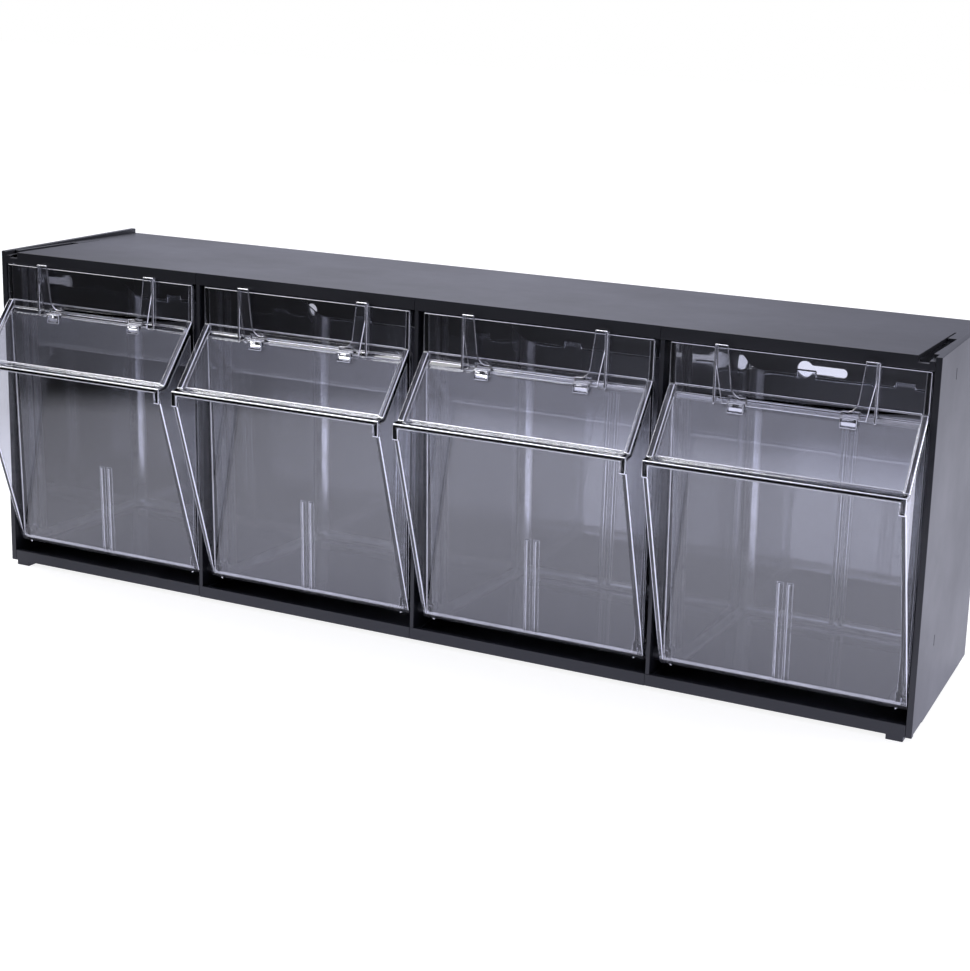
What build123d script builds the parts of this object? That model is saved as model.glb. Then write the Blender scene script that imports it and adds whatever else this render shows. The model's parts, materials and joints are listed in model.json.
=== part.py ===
from build123d import *
import math
import os

# Tilt-out bin unit: clear bins that tip forward out of a black housing.
# Millimetres. Every piece is drawn in the housing's own frame (X across the unit from its centre, Y back
# from the housing's front plane, Z up from the underside of the bottom rail) and moved once, at export, so
# that the origin is the bottom centre of the whole unit, on the surface that its feet stand on.

# ---------------------------------------------------------------- driving dimensions: the unit
UNIT_WIDTH = 600.0            # over the end panels at the front
HOUSING_DEPTH = 132.5         # front plane to back face
HOUSING_HEIGHT = 205.0        # underside of the bottom rail to the rims of the end panels
BIN_COUNT = 4
SIDE_DRAFT = 1.0              # each end leans in by this much at the back
ROOF_DRAFT = 2.9              # the top falls, and the bottom rises, by this much at the back
FIT_GAP = 0.1                 # between pieces that are fitted together face to face

# housing shell
END_THICKNESS = 3.5
ROOF_THICKNESS = 2.6
FLOOR_THICKNESS = 2.6
BACK_THICKNESS = 2.5
TOP_RAIL_HEIGHT = 7.2
BOTTOM_RAIL_HEIGHT = 7.0
RAIL_THICKNESS = 3.2
REST_RIB_WIDTH = 2.0          # the rib that a closed bin's floor rests on
REST_RIB_INSET = 14.0         # from the back face of the bin
REST_GAP = 0.05
SEAM_WIDTH = 0.35             # parting lines across the rails
SEAM_DEPTH = 0.3

# stacking feet and slots
FOOT_HEIGHT = 2.8
FOOT_WIDTH = 9.4
FOOT_LENGTH = 26.0
SLOT_WIDTH = 5.8
SLOT_LENGTH = 62.0
SLOT_RAIL_DEPTH = 3.8         # how deep the slot notches the top rail
SLOT_STRIP = 3.1              # strip of roof left between the slot and the end panel
SLIT_WIDTH = 0.9
SLIT_LENGTH = 21.0            # thin slit that runs on from the slot
STRIP_STEP_LENGTH = 9.0       # lowered front end of the strip
STRIP_STEP_DEPTH = 2.4

# holes in the back for wall screws
WALL_STUD_SPACING = 406.4     # key-slots, centre to centre
KEY_SLOT_LENGTH = 28.4
KEY_SLOT_WIDTH = 5.5
KEY_HEAD_DIAMETER = 10.0
SCREW_HOLE_DIAMETER = 8.0     # in line with the outer dividers
WALL_HOLE_HEIGHT = 161.0

# end panels
LATCH_SLIT_Y = 38.0
LATCH_SLIT_FROM_BOTTOM = 42.7
LATCH_SLIT_FROM_TOP = 15.2
LATCH_SLIT_WIDTH = 0.9
LATCH_SLIT_LENGTH = 6.0
EDGE_NOTCH_START = 4.0
EDGE_NOTCH_LENGTH = 20.0
EDGE_NOTCH_DEPTH = 1.0

# dividers
DIVIDER_THICKNESS = 2.4
CHANNEL_RIB_WIDTH = 1.6
CHANNEL_RIB_HEIGHT = 3.0
SCREW_RELIEF_RADIUS = 8.5     # cut in a divider's back edge round the screw hole

# pivots
PIVOT_Y = 10.0
PIVOT_Z = 17.5
HUB_RADIUS = 5.5
HUB_LENGTH = 6.5
BOSS_RADIUS = 4.5
STUD_RADIUS = 2.4
STUD_LENGTH = 3.4             # into the hub's bore
STUD_CLEARANCE = 0.06
BORE_EXTRA_DEPTH = 0.8
BOSS_END_GAP = 0.4

# bins
BIN_SPACING = 9.0             # between neighbouring bins, with the divider in the middle
BIN_WALL = 2.4
BIN_BACK_GAP = 8.0            # between the bin's back face, at its top, and the housing's back
BIN_BACK_LEAN = 2.5           # the back wall comes forward by this much at the floor
BIN_FLOOR_FALL = 2.6          # the floor falls by this much to the back
BIN_TOP_GAP = 0.6             # under the top rail
BIN_SIDE_LEAN = 1.1           # degrees that each side leans in towards the floor
BIN_BODY_INSET = 3.0          # the sides step in by this much behind the front
BIN_BODY_DRAFT = 3.0          # and narrow by this much more to the back
STEP_START_Y = 13.5
STEP_LENGTH = 6.0
STEP_RADIUS = 8.0             # where the sides bend at the step
BACK_CORNER_RADIUS = 9.0
FLOOR_CORNER_RADIUS = 7.0
WING_THICKNESS = 3.0          # the sides' leaning wings, in front of the front wall
SHOULDER_Z = 170.0            # bottom of the upright top panel
SHOULDER_REACH = 4.3          # the hood's top edge stands out this far below a sloping shoulder
SHOULDER_DROP = 4.0
HOOD_REACH = 25.5
LEDGE_Z = 140.2               # where the hood meets the lip's ledge
NOSE_REACH = 35.0             # the lip's front edge, in front of the housing
LIP_Z = 136.5                 # bottom of the lip's front face
LIP_TOP_Z = 139.4
LIP_PAD_DROP = 6.5            # a pad under each end of the lip, this much lower than the lip
RIM_TOP_Z = 174.5             # the sides' raised rim beside the hood starts here
RIM_REACH = 29.0              # and runs out into the ledge here
RIM_THICKNESS = 3.8
STOP_TAB_RISE = 4.5           # tabs on the back wall that catch behind the top rail
STOP_TAB_WIDTH = 12.0
STOP_TAB_SPACING = 59.0
DIVIDER_SLOT_GAP = 2.9        # between the two ribs that hold a loose divider
SLOT_RIB_THICKNESS = 2.6
FRONT_RIB_TOP = 72.0
FRONT_RIB_DEPTH = 1.6
BACK_RIB_DEPTH = 2.0
BACK_RIB_BELOW_RIM = 16.0

# label frames
FRAME_WIDTH = 89.0            # over the side walls
FRAME_STANDOFF = 3.4          # front of the frame in front of the bin's top panel
FRAME_PLATE = 1.5
FRAME_SIDE = 1.6
FRAME_OVERRUN = 2.2           # the legs stand this far above the bin's top edge
RAIL_GAP = 0.4                # between the frame's sides and the top rail
WINDOW_TOP_WIDTH = 74.0
WINDOW_LOW_WIDTH = 67.0
WINDOW_BOTTOM_Z = 171.8
WINDOW_CORNER_RADIUS = 7.0
PLATE_BOTTOM_Z = 167.6
LEG_SPLIT_Z = 186.5           # below here the U stands clear of the frame's sides
LEG_LOW_WIDTH = 78.6          # over the U at its bottom
FRAME_FOOT_WIDTH = 9.5
FRAME_FOOT_SPACING = 61.0
FRAME_FOOT_RISE = 1.8         # the feet overlap the U by this much
FRAME_FOOT_REACH = 3.0        # the feet stand out this far in front of the U
PEG_RADIUS = 0.9              # a peg behind each foot goes through the bin's top panel
PEG_CLEARANCE = 0.05
PEG_ABOVE_SHOULDER = 1.1
PEG_END = 0.6                 # length inside the bin

# ---------------------------------------------------------------- worked out from the above
HALF_WIDTH = UNIT_WIDTH / 2
PITCH = UNIT_WIDTH / BIN_COUNT
BIN_WIDTH = PITCH - BIN_SPACING
BIN_BACK_Y = HOUSING_DEPTH - BACK_THICKNESS - BIN_BACK_GAP
RAIL_TOP_OPENING = HOUSING_HEIGHT - TOP_RAIL_HEIGHT
BIN_TOP_Z = RAIL_TOP_OPENING - BIN_TOP_GAP
ARCH_RADIUS = math.hypot(PIVOT_Y, BIN_TOP_Z - PIVOT_Z)
BIN_FLOOR_Z = PIVOT_Z - HUB_RADIUS
BACK_FOOT_Y = BIN_BACK_Y - BIN_BACK_LEAN
BACK_FOOT_Z = BIN_FLOOR_Z - BIN_FLOOR_FALL
BACK_TOP_Z = PIVOT_Z + math.sqrt(ARCH_RADIUS ** 2 - (BIN_BACK_Y - PIVOT_Y) ** 2)
OPEN_TOP_Z = BIN_TOP_Z + BIN_WALL * 10      # above the arched top edge, where a bin's form is cut off
SHOULDER_LOW_Z = SHOULDER_Z - SHOULDER_DROP
PEG_Z = SHOULDER_Z + PEG_ABOVE_SHOULDER
SHELL_HALF = HALF_WIDTH - END_THICKNESS
SLOT_OUTER = SHELL_HALF - SLOT_STRIP
SLOT_INNER = SLOT_OUTER - SLOT_WIDTH
BIN_CENTRES = [(i - (BIN_COUNT - 1) / 2) * PITCH for i in range(BIN_COUNT)]
DIVIDER_CENTRES = [(i - BIN_COUNT / 2) * PITCH for i in range(1, BIN_COUNT)]
ORIGIN_SHIFT = Pos(0, NOSE_REACH - (NOSE_REACH + HOUSING_DEPTH) / 2, FOOT_HEIGHT)
FAR = 400.0                   # longer than anything that a cut has to pass


# ---------------------------------------------------------------- small helpers
def block(x0, x1, y0, y1, z0, z1):
    """A box between two corners."""
    return Pos((x0 + x1) / 2, (y0 + y1) / 2, (z0 + z1) / 2) * Box(abs(x1 - x0), abs(y1 - y0), abs(z1 - z0))


def side_face(points):
    """A face in the Y-Z plane from (y, z) points."""
    return Plane.YZ * make_face(Polyline(*points, close=True))


def side_slab(face, x0, x1):
    """The Y-Z face, as a solid from x0 to x1."""
    return Pos(x0, 0, 0) * extrude(face, x1 - x0, dir=(1, 0, 0))


def rod_x(radius, x0, x1, y, z):
    """A round bar along X."""
    return Pos((x0 + x1) / 2, y, z) * Rot(0, 90, 0) * Cylinder(radius, abs(x1 - x0))


def rod_y(radius, x, z, y0, y1):
    """A round bar along Y."""
    return Pos(x, (y0 + y1) / 2, z) * Rot(90, 0, 0) * Cylinder(radius, abs(y1 - y0))


def roof_z(y):
    """Height of the roof's top surface at y."""
    return HOUSING_HEIGHT - ROOF_DRAFT * y / HOUSING_DEPTH


def under_z(y):
    """Height of the bottom's underside at y."""
    return ROOF_DRAFT * y / HOUSING_DEPTH


def both_sides(piece):
    """A piece and its mirror image in the unit's middle plane."""
    return piece + mirror(piece, Plane.YZ)


# ---------------------------------------------------------------- housing shell
def shell_body():
    """Roof, back, floor and the two front rails, before any holes."""
    inner_back = HOUSING_DEPTH - BACK_THICKNESS
    outline = [(0, 0), (0, HOUSING_HEIGHT), (HOUSING_DEPTH, roof_z(HOUSING_DEPTH)),
               (HOUSING_DEPTH, under_z(HOUSING_DEPTH))]
    room = [(RAIL_THICKNESS, under_z(RAIL_THICKNESS) + FLOOR_THICKNESS),
            (RAIL_THICKNESS, roof_z(RAIL_THICKNESS) - ROOF_THICKNESS),
            (inner_back, roof_z(inner_back) - ROOF_THICKNESS),
            (inner_back, under_z(inner_back) + FLOOR_THICKNESS)]
    section = side_face(outline) - side_face(room)
    body = side_slab(section, -HALF_WIDTH, HALF_WIDTH)
    body -= block(-FAR, FAR, -1, RAIL_THICKNESS + 1, BOTTOM_RAIL_HEIGHT, RAIL_TOP_OPENING)
    front = SHELL_HALF
    back = SHELL_HALF - SIDE_DRAFT
    plan = make_face(Polyline((-front, 0), (front, 0), (back, HOUSING_DEPTH), (-back, HOUSING_DEPTH),
                              close=True))
    return body & extrude(plan, FAR)


def stacking_cuts():
    """Slot, slit and lowered strip at one end of the roof."""
    low = HOUSING_HEIGHT - SLOT_RAIL_DEPTH
    slot = block(SLOT_INNER, SLOT_OUTER, -1, SLOT_LENGTH, low, FAR)
    slot += block(SLOT_INNER, SLOT_OUTER, RAIL_THICKNESS, SLOT_LENGTH, low - ROOF_THICKNESS, FAR)
    slit_end = SLOT_LENGTH + SLIT_LENGTH
    slit = block(SLOT_INNER, SLOT_INNER + SLIT_WIDTH, SLOT_LENGTH - 1, slit_end, low - ROOF_THICKNESS, FAR)
    step = block(SLOT_OUTER - 1, FAR, -1, STRIP_STEP_LENGTH, HOUSING_HEIGHT - STRIP_STEP_DEPTH, FAR)
    return slot + slit + step


def feet():
    """Front and back foot at one end."""
    outer = SHELL_HALF - SIDE_DRAFT
    front = block(outer - FOOT_WIDTH, outer, 0, FOOT_LENGTH, -FOOT_HEIGHT, FLOOR_THICKNESS)
    back_y = HOUSING_DEPTH - BACK_THICKNESS
    back = block(outer - FOOT_WIDTH, outer, back_y - FOOT_LENGTH, back_y, -FOOT_HEIGHT,
                 under_z(back_y - FOOT_LENGTH) + FLOOR_THICKNESS)
    return front + back


def key_slot(x):
    """Level key-slot through the back, with its round head at the low-x end."""
    y0 = HOUSING_DEPTH - BACK_THICKNESS - 1
    y1 = HOUSING_DEPTH + 1
    run = KEY_SLOT_LENGTH / 2 - KEY_SLOT_WIDTH / 2
    half = KEY_SLOT_WIDTH / 2
    slot = block(x - run, x + run, y0, y1, WALL_HOLE_HEIGHT - half, WALL_HOLE_HEIGHT + half)
    slot += rod_y(half, x - run, WALL_HOLE_HEIGHT, y0, y1)
    slot += rod_y(half, x + run, WALL_HOLE_HEIGHT, y0, y1)
    return slot + rod_y(KEY_HEAD_DIAMETER / 2, x - run, WALL_HOLE_HEIGHT, y0, y1)


def channel_ribs(x):
    """Ribs on the roof and floor that hold a divider upright."""
    ribs = None
    y0 = RAIL_THICKNESS
    y1 = HOUSING_DEPTH - BACK_THICKNESS
    for side in (-1, 1):
        a = x + side * (DIVIDER_THICKNESS / 2 + FIT_GAP)
        b = a + side * CHANNEL_RIB_WIDTH
        room_low = [(y0, under_z(y0) + FLOOR_THICKNESS - 1), (y1, under_z(y1) + FLOOR_THICKNESS - 1),
                    (y1, under_z(y1) + FLOOR_THICKNESS + CHANNEL_RIB_HEIGHT),
                    (y0, under_z(y0) + FLOOR_THICKNESS + CHANNEL_RIB_HEIGHT)]
        room_high = [(y0, roof_z(y0) - ROOF_THICKNESS + 1), (y1, roof_z(y1) - ROOF_THICKNESS + 1),
                     (y1, roof_z(y1) - ROOF_THICKNESS - CHANNEL_RIB_HEIGHT),
                     (y0, roof_z(y0) - ROOF_THICKNESS - CHANNEL_RIB_HEIGHT)]
        for points in (room_low, room_high):
            rib = side_slab(side_face(points), min(a, b), max(a, b))
            ribs = rib if ribs is None else ribs + rib
    return ribs


def bin_floor_z(y):
    """Underside of a closed bin's floor at y."""
    return BIN_FLOOR_Z - BIN_FLOOR_FALL * (y - PIVOT_Y) / (BACK_FOOT_Y - PIVOT_Y)


def bin_side_x(z):
    """Half the bin's width over its sides, behind the front wall, at height z."""
    return BIN_WIDTH / 2 - (BIN_TOP_Z - z) * math.tan(math.radians(BIN_SIDE_LEAN))


def rest_rib(x):
    """Rib across one compartment that the back of a closed bin's floor rests on."""
    half = bin_side_x(BACK_FOOT_Z) - BIN_BODY_INSET - BIN_BODY_DRAFT - BACK_CORNER_RADIUS
    y1 = BIN_BACK_Y - REST_RIB_INSET
    y0 = y1 - REST_RIB_WIDTH
    top = bin_floor_z(y1) - REST_GAP
    return block(x - half, x + half, y0, y1, under_z(y0) + FLOOR_THICKNESS - 0.5, top)


def housing_shell():
    """The one-piece shell with its slots, feet, wall holes and divider channels."""
    shell = shell_body()
    for x in DIVIDER_CENTRES:
        shell += channel_ribs(x)
    for x in BIN_CENTRES:
        shell += rest_rib(x)
    shell += both_sides(feet())
    shell -= both_sides(stacking_cuts())
    for x in (-WALL_STUD_SPACING / 2, WALL_STUD_SPACING / 2):
        shell -= key_slot(x)
    for x in (DIVIDER_CENTRES[0], DIVIDER_CENTRES[-1]):
        shell -= rod_y(SCREW_HOLE_DIAMETER / 2, x, WALL_HOLE_HEIGHT, HOUSING_DEPTH - BACK_THICKNESS - 1,
                       HOUSING_DEPTH + 1)
    for x in DIVIDER_CENTRES:
        seam_x = x - DIVIDER_THICKNESS / 2
        for z0, z1 in ((-1, BOTTOM_RAIL_HEIGHT + 1), (RAIL_TOP_OPENING - 1, HOUSING_HEIGHT + 1)):
            shell -= block(seam_x - SEAM_WIDTH, seam_x, -1, SEAM_DEPTH, z0, z1)
    return shell


# ---------------------------------------------------------------- end panels
def end_panel():
    """The right-hand end panel, with its pivot stud."""
    plan = make_face(Polyline((SHELL_HALF + FIT_GAP, 0), (HALF_WIDTH, 0),
                              (HALF_WIDTH - SIDE_DRAFT, HOUSING_DEPTH),
                              (SHELL_HALF - SIDE_DRAFT + FIT_GAP, HOUSING_DEPTH), close=True))
    panel = extrude(plan, HOUSING_HEIGHT)
    panel -= side_slab(side_face([(-1, -1), (0, 0), (HOUSING_DEPTH + 1, under_z(HOUSING_DEPTH + 1)),
                                  (HOUSING_DEPTH + 1, -1)]), 0, FAR)
    notch_end = EDGE_NOTCH_START + EDGE_NOTCH_LENGTH
    panel -= block(0, FAR, EDGE_NOTCH_START, notch_end, -1, under_z(EDGE_NOTCH_START) + EDGE_NOTCH_DEPTH)
    for z in (LATCH_SLIT_FROM_BOTTOM, HOUSING_HEIGHT - LATCH_SLIT_FROM_TOP):
        panel -= block(0, FAR, LATCH_SLIT_Y - LATCH_SLIT_WIDTH / 2, LATCH_SLIT_Y + LATCH_SLIT_WIDTH / 2,
                       z - LATCH_SLIT_LENGTH / 2, z + LATCH_SLIT_LENGTH / 2)
    bin_side = BIN_CENTRES[-1] + BIN_WIDTH / 2
    panel += pivot_stud(bin_side, SHELL_HALF + END_THICKNESS / 2)
    return panel


def pivot_stud(bin_side, wall_x):
    """Boss and stud from a wall at wall_x into the hub of the bin whose side is at bin_side."""
    way = 1 if bin_side > wall_x else -1
    boss = rod_x(BOSS_RADIUS, wall_x, bin_side - way * BOSS_END_GAP, PIVOT_Y, PIVOT_Z)
    stud = rod_x(STUD_RADIUS, wall_x, bin_side + way * STUD_LENGTH, PIVOT_Y, PIVOT_Z)
    return boss + stud


# ---------------------------------------------------------------- dividers
def divider(x):
    """Upright plate between two bins, with a pivot stud on each face."""
    y0 = RAIL_THICKNESS + FIT_GAP
    y1 = HOUSING_DEPTH - BACK_THICKNESS - FIT_GAP
    low = FLOOR_THICKNESS + FIT_GAP
    high = ROOF_THICKNESS + FIT_GAP
    outline = [(0, BOTTOM_RAIL_HEIGHT + FIT_GAP), (y0, BOTTOM_RAIL_HEIGHT + FIT_GAP), (y0, under_z(y0) + low),
               (y1, under_z(y1) + low), (y1, roof_z(y1) - high), (y0, roof_z(y0) - high),
               (y0, RAIL_TOP_OPENING - FIT_GAP), (0, RAIL_TOP_OPENING - FIT_GAP)]
    plate = side_slab(side_face(outline), x - DIVIDER_THICKNESS / 2, x + DIVIDER_THICKNESS / 2)
    plate -= rod_x(SCREW_RELIEF_RADIUS, x - DIVIDER_THICKNESS, x + DIVIDER_THICKNESS,
                   HOUSING_DEPTH - BACK_THICKNESS, WALL_HOLE_HEIGHT)
    reach = PITCH / 2 - BIN_WIDTH / 2
    for way in (-1, 1):
        plate += pivot_stud(x + way * reach, x)
    return plate


# ---------------------------------------------------------------- bins
def hub_touch(start):
    """Where a straight line down from start touches the front of the pivot hub's circle."""
    dy = PIVOT_Y - start[0]
    dz = PIVOT_Z - start[1]
    reach = math.hypot(dy, dz)
    angle = math.atan2(dz, dy) - math.asin(HUB_RADIUS / reach)
    run = math.sqrt(reach ** 2 - HUB_RADIUS ** 2)
    return (start[0] + run * math.cos(angle), start[1] + run * math.sin(angle))


def line_y(start, z):
    """Depth, at height z, of the straight line from start down to the hub's circle."""
    touch = hub_touch(start)
    return start[0] + (touch[0] - start[0]) * (z - start[1]) / (touch[1] - start[1])


def back_wall_y(z):
    """The back wall's outer face at height z."""
    return BIN_BACK_Y - BIN_BACK_LEAN * (BACK_TOP_Z - z) / (BACK_TOP_Z - BACK_FOOT_Z)


def outline_face(front, top_z):
    """Side outline: down the given front, on to the hub's circle, round the floor and up the back wall."""
    touch = hub_touch(front[-1])
    start = math.atan2(touch[1] - PIVOT_Z, touch[0] - PIVOT_Y) % (2 * math.pi)
    middle = (start + 3 * math.pi / 2) / 2
    hub_mid = (PIVOT_Y + HUB_RADIUS * math.cos(middle), PIVOT_Z + HUB_RADIUS * math.sin(middle))
    hub_bottom = (PIVOT_Y, BIN_FLOOR_Z)
    back_foot = (BACK_FOOT_Y, BACK_FOOT_Z)
    back_top = (back_wall_y(top_z), top_z)
    wires = [Polyline(*front, touch), ThreePointArc(touch, hub_mid, hub_bottom), Line(hub_bottom, back_foot),
             Line(back_foot, back_top), Line(back_top, front[0])]
    return Plane.YZ * make_face(wires)


def rim_front(top_z):
    """Front of the wings, with their raised rims beside the hood."""
    return [(0, top_z), (0, RIM_TOP_Z), (-RIM_REACH, LEDGE_Z), (-NOSE_REACH, LIP_TOP_Z), (-NOSE_REACH, LIP_Z)]


def visor_front(top_z):
    """Front between the rims: top panel, shoulder, hood and lip."""
    return [(0, top_z), (0, SHOULDER_Z), (-SHOULDER_REACH, SHOULDER_LOW_Z), (-HOOD_REACH, LEDGE_Z),
            (-NOSE_REACH, LIP_TOP_Z), (-NOSE_REACH, LIP_Z)]


def wall_front(top_z):
    """Front of the top panel and of the front wall below it."""
    return [(0, top_z), (0, SHOULDER_Z)]


def plan_face(inset, z):
    """The sides' outline from above at height z: a step in behind the front, narrowing to the back."""
    front = bin_side_x(z) - inset
    body = front - BIN_BODY_INSET
    step_end = STEP_START_Y + STEP_LENGTH
    taper = BIN_BODY_DRAFT / (BIN_BACK_Y - step_end)
    back = body - taper * (FAR / 2 - step_end)
    points = [(front, -FAR / 2), (front, STEP_START_Y), (body, step_end), (back, FAR / 2)]
    points += [(-x, y) for x, y in reversed(points)]
    face = make_face(Polyline(*points, close=True))
    steps = [v for v in face.vertices() if abs(v.Y) < FAR / 2 - 1]
    return Pos(0, 0, z) * fillet(steps, STEP_RADIUS)


def bin_plan(inset):
    """The plan outline as a tall solid, its sides leaning in towards the floor."""
    return loft([plan_face(inset, -BIN_TOP_Z), plan_face(inset, 2 * BIN_TOP_Z)], ruled=True)


def tub(inset):
    """The bin's sides, back and floor with rounded corners, running on past the front and the top."""
    ahead = -FAR / 2
    outline = side_face([(ahead, bin_floor_z(ahead)), (BACK_FOOT_Y, BACK_FOOT_Z),
                         (back_wall_y(OPEN_TOP_Z), OPEN_TOP_Z), (ahead, OPEN_TOP_Z)])
    if inset > 0:
        outline = offset(outline, -inset, kind=Kind.INTERSECTION)
    form = side_slab(outline, -BIN_WIDTH / 2, BIN_WIDTH / 2) & bin_plan(inset)
    upright = [e for e in form.edges() if e.center().Y > BIN_BACK_Y / 2 and e.bounding_box().size.Z > PIVOT_Z]
    form = fillet(upright, BACK_CORNER_RADIUS - inset)
    floor_back = form.edges().filter_by(Axis.X).sort_by(Axis.Z)[0]
    return fillet(floor_back, FLOOR_CORNER_RADIUS - inset)


def visor_outline():
    """Side outline of the bin between its rims, open at the top."""
    return outline_face(visor_front(OPEN_TOP_Z), OPEN_TOP_Z)


def inner_outline(front):
    """The side outline under the given front, one wall's thickness in."""
    return offset(outline_face(front, OPEN_TOP_Z), -BIN_WALL, kind=Kind.INTERSECTION)


def under_visor():
    """Side outline of the open space under the hood and the lip, ahead of the front wall."""
    low = side_face([(-FAR, LIP_Z), (BIN_BACK_Y, LIP_Z), (BIN_BACK_Y, -FAR), (-FAR, -FAR)])
    return inner_outline(visor_front(OPEN_TOP_Z)) + low - outline_face(wall_front(OPEN_TOP_Z), OPEN_TOP_Z)


def front_plate():
    """Everything ahead of the front wall's inner face, as wide as the bin."""
    top = hub_touch(wall_front(OPEN_TOP_Z)[-1])
    ahead = side_face([(-FAR, OPEN_TOP_Z), (BIN_WALL, OPEN_TOP_Z), (BIN_WALL, SHOULDER_Z),
                       (top[0] + BIN_WALL, top[1]), (top[0] + BIN_WALL, -FAR), (-FAR, -FAR)])
    return side_slab(ahead, -BIN_WIDTH / 2, BIN_WIDTH / 2)


def bin_shell():
    """Outer form less the room inside, with the hood recessed between its rims and open below."""
    half = BIN_WIDTH / 2
    outer = side_slab(outline_face(rim_front(OPEN_TOP_Z), OPEN_TOP_Z), -half, half) & (tub(0) + front_plate())
    outer &= rod_x(ARCH_RADIUS, -half, half, PIVOT_Y, PIVOT_Z)
    recess = side_face([(1, SHOULDER_Z)] + visor_front(BIN_TOP_Z)[1:4]
                       + [(-NOSE_REACH, LEDGE_Z), (-NOSE_REACH, RIM_TOP_Z), (1, RIM_TOP_Z)])
    outer -= side_slab(recess, -half + RIM_THICKNESS, half - RIM_THICKNESS)
    outer -= side_slab(under_visor(), -half + WING_THICKNESS, half - WING_THICKNESS)
    return outer - (side_slab(inner_outline(wall_front(OPEN_TOP_Z)), -half, half) & tub(BIN_WALL))


def lip_pad(side):
    """Pad under one end of the lip, flush with the lip's front face."""
    half = BIN_WIDTH / 2
    low = LIP_Z - LIP_PAD_DROP
    wing_y = line_y((-NOSE_REACH, LIP_Z), low)
    face = side_face([(-NOSE_REACH, LIP_Z), (-NOSE_REACH, low), (wing_y + BIN_WALL / 2, low),
                      (-NOSE_REACH + BIN_WALL / 2, LIP_Z)])
    inner = half - RIM_THICKNESS
    pad = side_slab(face, inner, half)
    return pad if side > 0 else mirror(pad, Plane.YZ)


def slot_ribs():
    """Pairs of low ribs on the front and back walls that hold a loose divider."""
    wall_y = line_y((0, SHOULDER_Z), FRONT_RIB_TOP)
    middle = HUB_RADIUS - BIN_WALL / 2
    foot_y = PIVOT_Y - HUB_RADIUS + BIN_WALL + FRONT_RIB_DEPTH
    foot_z = PIVOT_Z - math.sqrt(middle ** 2 - (PIVOT_Y - foot_y) ** 2)
    front = [(PIVOT_Y - middle, PIVOT_Z), (wall_y + BIN_WALL / 2, FRONT_RIB_TOP),
             (wall_y + BIN_WALL + FRONT_RIB_DEPTH, FRONT_RIB_TOP), (foot_y, foot_z)]
    top_z = BACK_TOP_Z - BACK_RIB_BELOW_RIM
    floor_z = BACK_FOOT_Z + BIN_WALL / 2
    deep = BIN_WALL + BACK_RIB_DEPTH
    back = [(back_wall_y(floor_z) - BIN_WALL / 2, floor_z), (back_wall_y(top_z) - BIN_WALL / 2, top_z),
            (back_wall_y(top_z) - deep, top_z), (back_wall_y(floor_z) - deep, floor_z)]
    inner = DIVIDER_SLOT_GAP / 2
    ribs = [side_slab(side_face(points), inner, inner + SLOT_RIB_THICKNESS) for points in (front, back)]
    return ribs + [mirror(rib, Plane.YZ) for rib in ribs]


def stop_tab(x):
    """Tab on the back wall's top edge that meets the top rail when the bin is fully tipped."""
    half = STOP_TAB_WIDTH / 2
    return block(x - half, x + half, BIN_BACK_Y - BIN_WALL, BIN_BACK_Y, BACK_TOP_Z - BIN_WALL,
                 BACK_TOP_Z + STOP_TAB_RISE)


def tilt_bin():
    """One bin: shell, hubs with their bores, lip pads, slot ribs, stop tabs and peg holes."""
    half = BIN_WIDTH / 2
    depth = STUD_LENGTH + BORE_EXTRA_DEPTH
    piece = bin_shell()
    for rib in slot_ribs():
        piece += rib
    for side in (-1, 1):
        piece += stop_tab(side * STOP_TAB_SPACING / 2)
        piece += lip_pad(side)
        piece += rod_x(HUB_RADIUS, side * (half - HUB_LENGTH), side * half, PIVOT_Y, PIVOT_Z)
        piece -= rod_x(STUD_RADIUS + STUD_CLEARANCE, side * (half - depth), side * (half + 1), PIVOT_Y,
                       PIVOT_Z)
        piece -= rod_y(PEG_RADIUS + PEG_CLEARANCE, side * FRAME_FOOT_SPACING / 2, PEG_Z, -1, BIN_WALL + 1)
    return piece


# ---------------------------------------------------------------- label frames
def u_plate():
    """Front plate of the label frame: a U whose legs join the frame's sides near the top."""
    top = BIN_TOP_Z + FRAME_OVERRUN
    side = FRAME_WIDTH / 2
    inside = side - FRAME_SIDE
    low = LEG_LOW_WIDTH / 2
    right = [(low, PLATE_BOTTOM_Z), (inside, LEG_SPLIT_Z), (side, LEG_SPLIT_Z), (side, top)]
    left = [(-x, z) for x, z in reversed(right)]
    plate = make_face(Polyline(*(right + left), close=True))
    bottom = WINDOW_BOTTOM_Z
    window = make_face(Polyline((-WINDOW_LOW_WIDTH / 2, bottom), (WINDOW_LOW_WIDTH / 2, bottom),
                                (WINDOW_TOP_WIDTH / 2, top + 1), (-WINDOW_TOP_WIDTH / 2, top + 1),
                                close=True))
    window = fillet([v for v in window.vertices() if v.Y < bottom + 1], WINDOW_CORNER_RADIUS)
    face = plate - window
    return Pos(0, -FRAME_STANDOFF, 0) * extrude(Rot(90, 0, 0) * face, -FRAME_PLATE)


def frame_side():
    """Right-hand side wall of the label frame, from the bin's top panel out to the front of the U."""
    top = BIN_TOP_Z + FRAME_OVERRUN
    x1 = FRAME_WIDTH / 2
    x0 = x1 - FRAME_SIDE
    wall = block(x0, x1, -FRAME_STANDOFF, 0, SHOULDER_LOW_Z, top)
    return wall - block(x0 - 1, x1 + 1, -RAIL_GAP, 1, BIN_TOP_Z, top + 1)


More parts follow.
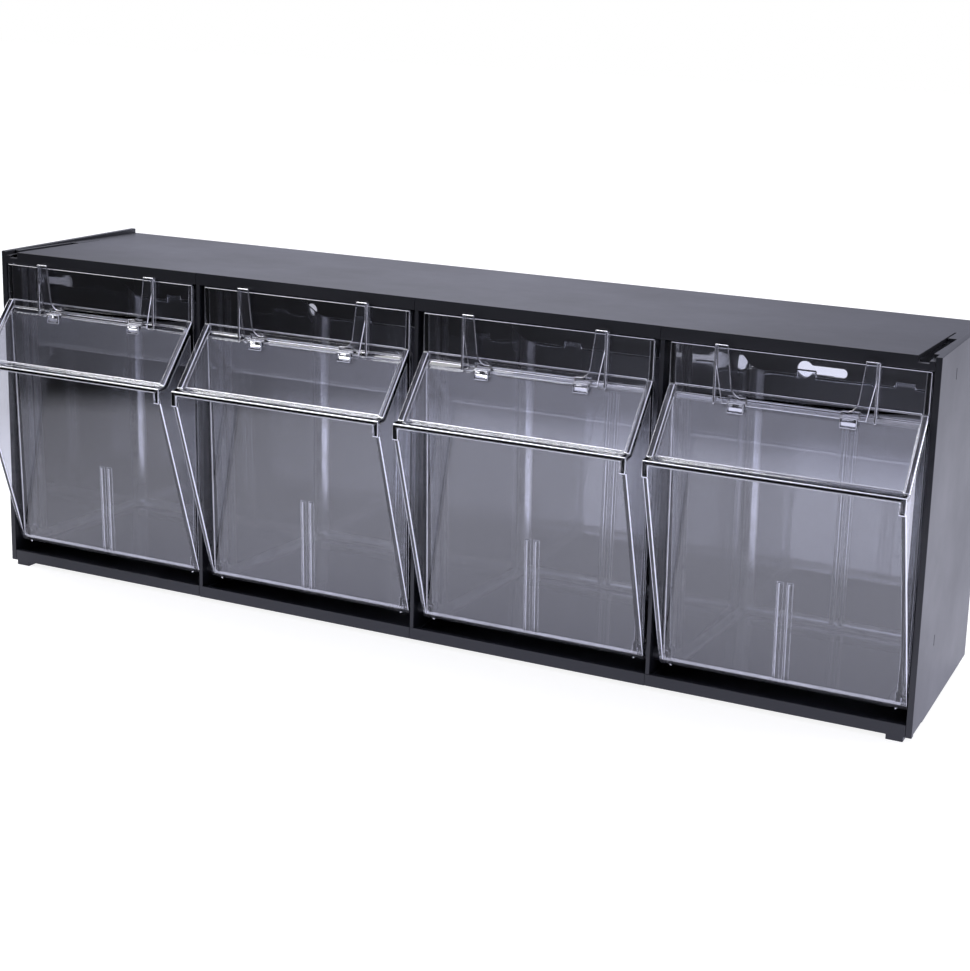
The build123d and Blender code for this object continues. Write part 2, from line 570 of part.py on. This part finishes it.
def frame_foot():
    """Right-hand foot under the U, on the shoulder and the hood, with a pad behind the U."""
    reach = FRAME_STANDOFF + FRAME_FOOT_REACH
    x0 = FRAME_FOOT_SPACING / 2 - FRAME_FOOT_WIDTH / 2
    x1 = x0 + FRAME_FOOT_WIDTH
    hood_slope = (SHOULDER_LOW_Z - LEDGE_Z) / (HOOD_REACH - SHOULDER_REACH)
    toe_z = SHOULDER_LOW_Z - hood_slope * (reach - SHOULDER_REACH)
    foot = block(x0, x1, -reach, 0, toe_z, PLATE_BOTTOM_Z + FRAME_FOOT_RISE)
    return foot + block(x0, x1, -FRAME_STANDOFF, 0, toe_z, PEG_Z + PEG_RADIUS + FIT_GAP)


def label_frame():
    """U-shaped clear frame on a bin's top panel that holds a label and is the finger pull."""
    frame = u_plate() + both_sides(frame_side()) + both_sides(frame_foot())
    frame -= side_slab(visor_outline(), -BIN_WIDTH / 2, BIN_WIDTH / 2)
    peg = rod_y(PEG_RADIUS, FRAME_FOOT_SPACING / 2, PEG_Z, -FRAME_PLATE, BIN_WALL + PEG_END)
    return frame + both_sides(peg)


# ---------------------------------------------------------------- the unit
def pieces():
    """Every piece by name, in the housing's frame."""
    made = {"housing_shell": housing_shell()}
    right = end_panel()
    made["right_end_panel"] = right
    made["left_end_panel"] = mirror(right, Plane.YZ)
    for number, x in enumerate(DIVIDER_CENTRES, 1):
        made[f"divider_{number}"] = divider(x)
    bin_one = tilt_bin()
    frame_one = label_frame()
    for number, x in enumerate(BIN_CENTRES, 1):
        made[f"bin_{number}"] = Pos(x, 0, 0) * bin_one
        made[f"label_frame_{number}"] = Pos(x, 0, 0) * frame_one
    return made


os.makedirs("parts", exist_ok=True)
for name, piece in pieces().items():
    export_step(ORIGIN_SHIFT * piece, f"parts/{name}.step")
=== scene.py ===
import json
import math

import bmesh
import bpy
from mathutils import Matrix, Vector

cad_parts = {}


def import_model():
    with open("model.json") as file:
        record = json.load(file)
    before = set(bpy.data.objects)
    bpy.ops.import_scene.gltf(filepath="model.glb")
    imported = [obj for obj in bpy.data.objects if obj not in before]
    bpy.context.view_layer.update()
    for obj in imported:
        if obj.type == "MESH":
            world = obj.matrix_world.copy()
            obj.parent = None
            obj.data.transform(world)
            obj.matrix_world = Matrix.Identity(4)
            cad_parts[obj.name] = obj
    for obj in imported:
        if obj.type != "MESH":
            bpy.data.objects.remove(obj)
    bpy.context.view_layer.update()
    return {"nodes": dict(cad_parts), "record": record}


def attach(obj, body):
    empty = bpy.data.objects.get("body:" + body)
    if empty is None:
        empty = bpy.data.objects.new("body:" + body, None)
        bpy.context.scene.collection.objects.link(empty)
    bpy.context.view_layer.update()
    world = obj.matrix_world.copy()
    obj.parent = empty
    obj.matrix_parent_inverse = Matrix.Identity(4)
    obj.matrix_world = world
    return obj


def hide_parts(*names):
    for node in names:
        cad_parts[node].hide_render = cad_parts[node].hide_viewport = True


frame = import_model()

# ---------------------------------------------------------------- sizes, in metres
MM = 0.001
HOUSING_NODES = ["housing_shell", "left_end_panel", "right_end_panel",
                 "divider_1", "divider_2", "divider_3"]
BIN_NUMBERS = [1, 2, 3, 4]

# the viewpoint, found by fitting the unit's corners
IMAGE_HEIGHT = 971            # pixels; the image is 970 wide
FOCAL_PIXELS = 1841.3
VIEW_CENTRE = (528.5, 403.0)  # pixel that the camera's axis passes through
IMAGE_MIDDLE = (485.0, 485.5)
CAMERA_PLACE = (0.4934, -0.9568, 0.3890)
CAMERA_AZIMUTH = 24.90        # degrees, from straight in front towards the right
CAMERA_PITCH = -13.12
CAMERA_ROLL = 1.77
SENSOR = 36.0                 # millimetres, its height


# ---------------------------------------------------------------- camera
def place_camera():
    """Camera at the viewpoint, turned and shifted to its frame."""
    azimuth = math.radians(CAMERA_AZIMUTH)
    pitch = math.radians(CAMERA_PITCH)
    roll = math.radians(CAMERA_ROLL)
    ahead = Vector((-math.sin(azimuth) * math.cos(pitch),
                    math.cos(azimuth) * math.cos(pitch),
                    math.sin(pitch)))
    level = Vector((math.cos(azimuth), math.sin(azimuth), 0.0))
    upright = level.cross(ahead)
    right = level * math.cos(roll) + upright * math.sin(roll)
    up = upright * math.cos(roll) - level * math.sin(roll)
    data = bpy.data.cameras.new("camera")
    data.sensor_fit = "VERTICAL"
    data.sensor_height = SENSOR
    data.lens = FOCAL_PIXELS / IMAGE_HEIGHT * SENSOR
    data.shift_x = (IMAGE_MIDDLE[0] - VIEW_CENTRE[0]) / IMAGE_HEIGHT
    data.shift_y = (VIEW_CENTRE[1] - IMAGE_MIDDLE[1]) / IMAGE_HEIGHT
    camera = bpy.data.objects.new("camera", data)
    turn = Matrix((right, up, -ahead)).transposed().to_4x4()
    camera.matrix_world = Matrix.Translation(CAMERA_PLACE) @ turn
    bpy.context.scene.collection.objects.link(camera)
    bpy.context.scene.camera = camera


# ---------------------------------------------------------------- node helpers
def new_material(name):
    """Empty node material with its output node."""
    material = bpy.data.materials.new(name)
    material.use_nodes = True
    tree = material.node_tree
    tree.nodes.clear()
    output = tree.nodes.new("ShaderNodeOutputMaterial")
    return material, tree, output


def noise(tree, scale, detail=2.0, roughness=0.5, stretch=(1.0, 1.0, 1.0)):
    """Noise in the object's own coordinates, in features per metre."""
    place = tree.nodes.new("ShaderNodeTexCoord")
    mapping = tree.nodes.new("ShaderNodeMapping")
    mapping.inputs["Scale"].default_value = stretch
    texture = tree.nodes.new("ShaderNodeTexNoise")
    texture.inputs["Scale"].default_value = scale
    texture.inputs["Detail"].default_value = detail
    texture.inputs["Roughness"].default_value = roughness
    tree.links.new(place.outputs["Object"], mapping.inputs["Vector"])
    tree.links.new(mapping.outputs["Vector"], texture.inputs["Vector"])
    return texture.outputs["Fac"]


def remap(tree, value, low, high, source=(0.3, 0.7)):
    """A texture's value stretched to run from low to high."""
    node = tree.nodes.new("ShaderNodeMapRange")
    node.inputs["From Min"].default_value = source[0]
    node.inputs["From Max"].default_value = source[1]
    node.inputs["To Min"].default_value = low
    node.inputs["To Max"].default_value = high
    tree.links.new(value, node.inputs["Value"])
    return node.outputs["Result"]


def bump(tree, height, distance, strength=1.0, under=None):
    """Bump from a height, on top of an earlier bump."""
    node = tree.nodes.new("ShaderNodeBump")
    node.inputs["Distance"].default_value = distance
    node.inputs["Strength"].default_value = strength
    tree.links.new(height, node.inputs["Height"])
    if under is not None:
        tree.links.new(under, node.inputs["Normal"])
    return node.outputs["Normal"]


# ---------------------------------------------------------------- materials
BLACK_IOR = 1.6
BLACK_LOW = (0.010, 0.011, 0.015, 1.0)
BLACK_HIGH = (0.016, 0.017, 0.023, 1.0)
BLACK_ROUGHNESS = (0.32, 0.44)
CLEAR_IOR = 1.80
CLEAR_TINT = (0.945, 0.955, 0.990, 1.0)
CLEAR_ROUGHNESS = (0.0, 0.03)
# painted highlights: the bright finish on the clear pieces' rounded edges and bends
PAINTED_GLINT_TINT = (0.97, 0.97, 1.0, 1.0)
EDGE_ROUGHNESS = (0.10, 0.25)
EDGE_GLINT_METAL = (0.80, 1.0)      # painted highlight on the sharp edges, a metal-like sheen
BEND_GLINT_METAL = (0.25, 0.45)     # weaker painted highlight in the inner corners and on the bends


def black_plastic():
    """Black moulded plastic: satin, with a fine grain and slow changes of sheen."""
    material, tree, output = new_material("housing_black")
    shader = tree.nodes.new("ShaderNodeBsdfPrincipled")
    shader.inputs["IOR"].default_value = BLACK_IOR
    tree.links.new(shader.outputs["BSDF"], output.inputs["Surface"])
    tone = tree.nodes.new("ShaderNodeMix")
    tone.data_type = "RGBA"
    tone.inputs["A"].default_value = BLACK_LOW
    tone.inputs["B"].default_value = BLACK_HIGH
    tree.links.new(noise(tree, 14.0, 4.0), tone.inputs["Factor"])
    tree.links.new(tone.outputs["Result"], shader.inputs["Base Color"])
    tree.links.new(remap(tree, noise(tree, 9.0, 5.0, 0.6), *BLACK_ROUGHNESS), shader.inputs["Roughness"])
    slow = bump(tree, noise(tree, 6.0, 1.0), 0.6 * MM, 0.3)
    grain = bump(tree, noise(tree, 2600.0, 2.0), 0.02 * MM, 0.25, slow)
    tree.links.new(grain, shader.inputs["Normal"])
    return material


def painted_glint_plastic(name, low, high):
    """Painted highlight where clear plastic turns a corner: a whitish, partly metallic finish whose sheen
    stands in for the light that the corner gathers and glints with.
    """
    material, tree, output = new_material(name)
    shader = tree.nodes.new("ShaderNodeBsdfPrincipled")
    shader.inputs["Base Color"].default_value = PAINTED_GLINT_TINT
    shader.inputs["IOR"].default_value = CLEAR_IOR
    shader.inputs["Transmission Weight"].default_value = 1.0 - high / 2
    tree.links.new(shader.outputs["BSDF"], output.inputs["Surface"])
    tree.links.new(remap(tree, noise(tree, 60.0, 4.0, 0.6), low, high), shader.inputs["Metallic"])
    tree.links.new(remap(tree, noise(tree, 110.0, 3.0, 0.6), *EDGE_ROUGHNESS), shader.inputs["Roughness"])
    return material


def clear_plastic():
    """Clear moulded plastic with the faint streaks and waves of its flow in the mould."""
    material, tree, output = new_material("clear_plastic")
    shader = tree.nodes.new("ShaderNodeBsdfPrincipled")
    shader.inputs["Base Color"].default_value = CLEAR_TINT
    shader.inputs["Transmission Weight"].default_value = 1.0
    shader.inputs["IOR"].default_value = CLEAR_IOR
    tree.links.new(shader.outputs["BSDF"], output.inputs["Surface"])
    tree.links.new(remap(tree, noise(tree, 30.0, 6.0, 0.7), *CLEAR_ROUGHNESS), shader.inputs["Roughness"])
    waves = bump(tree, noise(tree, 22.0, 2.0, 0.5, (1.0, 1.0, 0.25)), 0.35 * MM, 0.12)
    specks = bump(tree, noise(tree, 900.0, 2.0), 0.01 * MM, 0.03, waves)
    tree.links.new(specks, shader.inputs["Normal"])
    return material


# ---------------------------------------------------------------- dressed copies of the CAD's pieces
HOUSING_ROUND = 0.28 * MM     # radius of the moulded edges
BIN_ROUND = 0.65 * MM
FRAME_ROUND = 0.55 * MM
FRAME_GAP = 0.03 * MM         # a label frame is this much smaller all round, clear of the bin
SHARP_ANGLE = math.radians(28.0)
BLEND_COSINE = math.cos(math.radians(50.0))  # faces nearer than this share their normals
LEAST_BEND = math.radians(2.0)  # a curved corner's faces turn by more than this
BEND_WIDTH = 2.5 * MM         # and they are narrower than this
LEAST_TURN = math.radians(0.5)  # faces that turn by less than this count as one
WELD = 0.06 * MM              # slivers shorter than this are closed up
GROOVE = 0.6 * MM             # edges this close to another along all their length stay sharp
ACROSS_COSINE = 0.5           # edges that meet at more than 60 degrees run across each other


def in_groove(edge):
    """True for an edge along a parting line, too near its neighbour to be rounded."""
    near = 0
    for end in edge.verts:
        for other in end.link_edges:
            if other is not edge and other.calc_length() < GROOVE:
                along = abs((other.verts[1].co - other.verts[0].co).normalized().dot(
                    (edge.verts[1].co - edge.verts[0].co).normalized()))
                if along < ACROSS_COSINE:
                    near += 1
                    break
    return near == 2


def face_normals(form):
    """A normal for each face corner: the larger faces stay flat and the small ones blend between them."""
    areas = {face: face.calc_area() for face in form.faces}
    normals = []
    for face in form.faces:
        for corner in face.loops:
            total = Vector((0.0, 0.0, 0.0))
            for near in corner.vert.link_faces:
                if near.normal.dot(face.normal) > BLEND_COSINE:
                    total += near.normal * areas[near]
            normals.append(total.normalized())
    return normals


def mark_bends(form):
    """The narrow faces of the curved corners take the third material, the weaker painted highlight."""
    for face in form.faces:
        turns = [edge.calc_face_angle(0.0) for edge in face.edges if len(edge.link_faces) == 2]
        longest = max(edge.calc_length() for edge in face.edges)
        if face.calc_area() / longest < BEND_WIDTH and any(LEAST_BEND < turn < SHARP_ANGLE for turn in turns):
            face.material_index = 2


def mark_edges(faces):
    """Rounded outer edges take the second material, the painted highlight, and rounded inner corners the
    third, its weaker form.
    """
    for face in faces:
        middle = face.calc_center_median()
        near = [other for edge in face.edges for other in edge.link_faces if other is not face]
        height = sum((other.calc_center_median() - middle).normalized().dot(face.normal) for other in near)
        face.material_index = 2 if height > 0.0 else 1


def rounded_copy(node, name, width, clear_piece=False, smaller=0.0):
    """The node's own mesh with its sharp edges rounded, lying where the node lies."""
    source = frame["nodes"][node]
    mesh = source.data.copy()
    mesh.materials.clear()
    piece = bpy.data.objects.new(name, mesh)
    piece.matrix_world = source.matrix_world.copy()
    bpy.context.scene.collection.objects.link(piece)
    form = bmesh.new()
    form.from_mesh(mesh)
    bmesh.ops.remove_doubles(form, verts=form.verts, dist=WELD)
    bmesh.ops.dissolve_limit(form, angle_limit=LEAST_TURN, verts=form.verts, edges=form.edges)
    sharp = [e for e in form.edges if len(e.link_faces) == 2 and e.calc_face_angle(0.0) > SHARP_ANGLE]
    sharp = [e for e in sharp if not in_groove(e)]
    if clear_piece:
        mark_bends(form)
    made = bmesh.ops.bevel(form, geom=sharp, offset=width, offset_type="OFFSET", segments=2, profile=0.5,
                           affect="EDGES", clamp_overlap=False)
    for face in form.faces:
        face.smooth = True
    form.normal_update()
    if clear_piece:
        mark_edges(made["faces"])
    for vert in form.verts:
        vert.co -= vert.normal * smaller
    normals = face_normals(form)
    form.to_mesh(mesh)
    form.free()
    mesh.normals_split_custom_set(normals)
    return piece


def body_of_node(node):
    """Name of the body that a node belongs to."""
    for body, nodes in frame["record"]["behaviour"]["bodies"].items():
        if node in nodes:
            return body
    raise KeyError(node)


def paint(piece, *materials):
    """The piece's materials: all over it, then the painted highlights on its sharp edges and on its bends."""
    for material in materials:
        piece.data.materials.append(material)


# ---------------------------------------------------------------- studio
FLOOR_SIZE = 12.0
FLOOR_GLOW = 0.87             # the floor's own white, so that only its shadow is grey
FLOOR_MATT = 0.35             # its grey, as far as the lamps light it
TABLE_EDGE_Y = -0.48          # in reflections the painted glow of a pale table ends here and a painted dark room begins
TABLE_EDGE_SOFT = 0.04
TABLE_CORNER_X = -0.25        # and left of here its edge slants back
TABLE_SLANT = 0.42
PAINTED_ROOM_DARK = 0.10
FAR_START_Y = 0.30            # and this painted glow darkens behind the unit, a painted shade
FAR_END_Y = 0.80
PAINTED_FAR_SHADE = 0.6
RISE_START_X = -0.60          # and it brightens from left to right, with painted shade on its left
RISE_END_X = -0.15
PAINTED_LEFT_SHADE = 0.15
ROOM_TONES = (0.05, 0.85)     # the studio's brightness in front and behind
ROOM_Y = (-0.25, 0.35)        # where it changes, in the direction's own Y
ROOM_SIDES = (1.0, 0.62)      # its brightness on the left and on the right
ROOM_X = (-0.38, -0.18)
CORNER_SLOPE = 0.82           # a dark corner at its left, across X and Y
CORNER_TONE = 0.1
CORNER_EDGE = (-0.05, 0.04)
CEILING_Z = (0.40, 0.78)      # a pale ceiling begins here, in the direction's own Z
CEILING_TONE = 0.3            # on the ceiling's left
CEILING_X = (-0.64, -0.42)
LAVENDER = (0.80, 0.81, 1.0, 1.0)
WHITE = (1.0, 1.0, 1.0, 1.0)


def arithmetic(tree, operation, first, second):
    """A Math node on two values, each a socket or a number."""
    node = tree.nodes.new("ShaderNodeMath")
    node.operation = operation
    for place, value in enumerate((first, second)):
        if isinstance(value, float):
            node.inputs[place].default_value = value
        else:
            tree.links.new(value, node.inputs[place])
    return node.outputs[0]


def object_axes(tree, kind):
    """X, Y and Z sockets of a coordinate of the given kind."""
    place = tree.nodes.new("ShaderNodeTexCoord")
    split = tree.nodes.new("ShaderNodeSeparateXYZ")
    tree.links.new(place.outputs[kind], split.inputs["Vector"])
    return split.outputs["X"], split.outputs["Y"], split.outputs["Z"]


def floor():
    """Pale floor that keeps the unit's shadow. In reflections it glows with a painted picture of a lit table
    with a front edge, a dark room beyond, and shade behind the unit and on its left.
    """
    mesh = bpy.data.meshes.new("floor")
    form = bmesh.new()
    bmesh.ops.create_grid(form, x_segments=1, y_segments=1, size=FLOOR_SIZE / 2)
    form.to_mesh(mesh)
    form.free()
    plane = bpy.data.objects.new("floor", mesh)
    bpy.context.scene.collection.objects.link(plane)
    material, tree, output = new_material("floor_white")
    path = tree.nodes.new("ShaderNodeLightPath")
    x, y = object_axes(tree, "Object")[:2]
    # painted reflection: rays that mirror off or pass through the pieces see this glow of a pale table, a
    # dark room past its edge, and painted shade behind and to the left
    past_corner = arithmetic(tree, "MAXIMUM", arithmetic(tree, "SUBTRACT", TABLE_CORNER_X, x), 0.0)
    edge_y = arithmetic(tree, "SUBTRACT", y, arithmetic(tree, "MULTIPLY", past_corner, TABLE_SLANT))
    table = remap(tree, edge_y, PAINTED_ROOM_DARK, 1.0,
                  (TABLE_EDGE_Y - TABLE_EDGE_SOFT, TABLE_EDGE_Y + TABLE_EDGE_SOFT))
    mirrored = arithmetic(tree, "MAXIMUM", path.outputs["Is Glossy Ray"], path.outputs["Is Transmission Ray"])
    far = remap(tree, y, 1.0, PAINTED_FAR_SHADE, (FAR_START_Y, FAR_END_Y))
    rise = remap(tree, x, PAINTED_LEFT_SHADE, 1.0, (RISE_START_X, RISE_END_X))
    painted_reflection_level = arithmetic(tree, "MULTIPLY", arithmetic(tree, "MULTIPLY", table, far), rise)
    glow = tree.nodes.new("ShaderNodeEmission")
    tint = tree.nodes.new("ShaderNodeMix")
    tint.data_type = "RGBA"
    tint.inputs["A"].default_value = LAVENDER
    tint.inputs["B"].default_value = WHITE
    tree.links.new(path.outputs["Is Camera Ray"], tint.inputs["Factor"])
    tree.links.new(tint.outputs["Result"], glow.inputs["Color"])
    seen = arithmetic(tree, "MULTIPLY", path.outputs["Is Camera Ray"], FLOOR_GLOW)
    shown = arithmetic(tree, "ADD", seen, arithmetic(tree, "MULTIPLY", mirrored, painted_reflection_level))
    tree.links.new(shown, glow.inputs["Strength"])
    matt = tree.nodes.new("ShaderNodeBsdfDiffuse")
    matt.inputs["Color"].default_value = (FLOOR_MATT, FLOOR_MATT, FLOOR_MATT, 1.0)
    lit = tree.nodes.new("ShaderNodeMixShader")
    unlit = arithmetic(tree, "MULTIPLY", arithmetic(tree, "SUBTRACT", 1.0, table), mirrored)
    tree.links.new(unlit, lit.inputs["Fac"])
    tree.links.new(matt.outputs["BSDF"], lit.inputs[1])
    both = tree.nodes.new("ShaderNodeAddShader")
    tree.links.new(glow.outputs["Emission"], both.inputs[0])
    tree.links.new(lit.outputs["Shader"], both.inputs[1])
    tree.links.new(both.outputs["Shader"], output.inputs["Surface"])
    paint(plane, material)


def world():
    """White behind the unit. Its reflections show a studio, pale behind and above it and dark in front."""
    scene_world = bpy.data.worlds.new("studio")
    scene_world.use_nodes = True
    bpy.context.scene.world = scene_world
    tree = scene_world.node_tree
    tree.nodes.clear()
    output = tree.nodes.new("ShaderNodeOutputWorld")
    path = tree.nodes.new("ShaderNodeLightPath")
    x, y, z = object_axes(tree, "Generated")
    room = arithmetic(tree, "MULTIPLY", remap(tree, y, *ROOM_TONES, ROOM_Y),
                      remap(tree, x, *ROOM_SIDES, ROOM_X))
    corner = arithmetic(tree, "ADD", x, arithmetic(tree, "MULTIPLY", y, CORNER_SLOPE))
    room = arithmetic(tree, "MULTIPLY", room, remap(tree, corner, CORNER_TONE, 1.0, CORNER_EDGE))
    ceiling = arithmetic(tree, "MULTIPLY", remap(tree, z, 0.0, 1.0, CEILING_Z),
                         remap(tree, x, CEILING_TONE, 1.0, CEILING_X))
    room = arithmetic(tree, "MAXIMUM", room, ceiling)
    studio = tree.nodes.new("ShaderNodeBackground")
    studio.inputs["Color"].default_value = LAVENDER
    tree.links.new(room, studio.inputs["Strength"])
    white = tree.nodes.new("ShaderNodeBackground")
    white.inputs["Color"].default_value = WHITE
    blend = tree.nodes.new("ShaderNodeMixShader")
    tree.links.new(path.outputs["Is Camera Ray"], blend.inputs["Fac"])
    tree.links.new(studio.outputs["Background"], blend.inputs[1])
    tree.links.new(white.outputs["Background"], blend.inputs[2])
    tree.links.new(blend.outputs["Shader"], output.inputs["Surface"])


def softbox(name, place, aim, size, power, colour=(1.0, 1.0, 1.0)):
    """Rectangular area light at a place, turned towards a point."""
    data = bpy.data.lights.new(name, "AREA")
    data.shape = "RECTANGLE"
    data.size = size[0]
    data.size_y = size[1]
    data.energy = power
    data.color = colour
    lamp = bpy.data.objects.new(name, data)
    lamp.location = place
    lamp.rotation_euler = (Vector(aim) - Vector(place)).to_track_quat("-Z", "Y").to_euler()
    bpy.context.scene.collection.objects.link(lamp)


def lights():
    """Soft studio light: a large box overhead, one on each side and a small one in front on the left."""
    middle = (0.0, 0.0, 0.1)
    softbox("overhead", (-0.6, 0.40, 1.4), middle, (1.5, 0.8), 16.0)
    softbox("front_box", (-1.0, -1.15, 0.72), middle, (0.9, 0.6), 2.2)
    softbox("right_box", (1.5, 0.6, 0.6), middle, (0.8, 1.0), 10.0, (0.96, 0.95, 1.0))
    softbox("left_box", (-1.5, 0.3, 0.6), middle, (0.8, 1.0), 7.0, (0.96, 0.95, 1.0))


# ---------------------------------------------------------------- make it
place_camera()
floor()
world()
lights()

black = black_plastic()
clear = clear_plastic()
# painted highlights for the rounded edges and the bends of the clear pieces
edges = painted_glint_plastic("clear_edge_painted_glint", *EDGE_GLINT_METAL)
bends = painted_glint_plastic("clear_bend_painted_glint", *BEND_GLINT_METAL)
for node in HOUSING_NODES:
    dressed = rounded_copy(node, f"{node}_finish", HOUSING_ROUND)
    paint(dressed, black)
    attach(dressed, body_of_node(node))
    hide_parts(node)
for number in BIN_NUMBERS:
    for stem, edge_round, gap in (("bin", BIN_ROUND, 0.0), ("label_frame", FRAME_ROUND, FRAME_GAP)):
        node = f"{stem}_{number}"
        dressed = rounded_copy(node, f"{node}_finish", edge_round, True, gap)
        paint(dressed, clear, edges, bends)
        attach(dressed, body_of_node(node))
        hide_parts(node)

bpy.context.scene.view_settings.view_transform = "Standard"
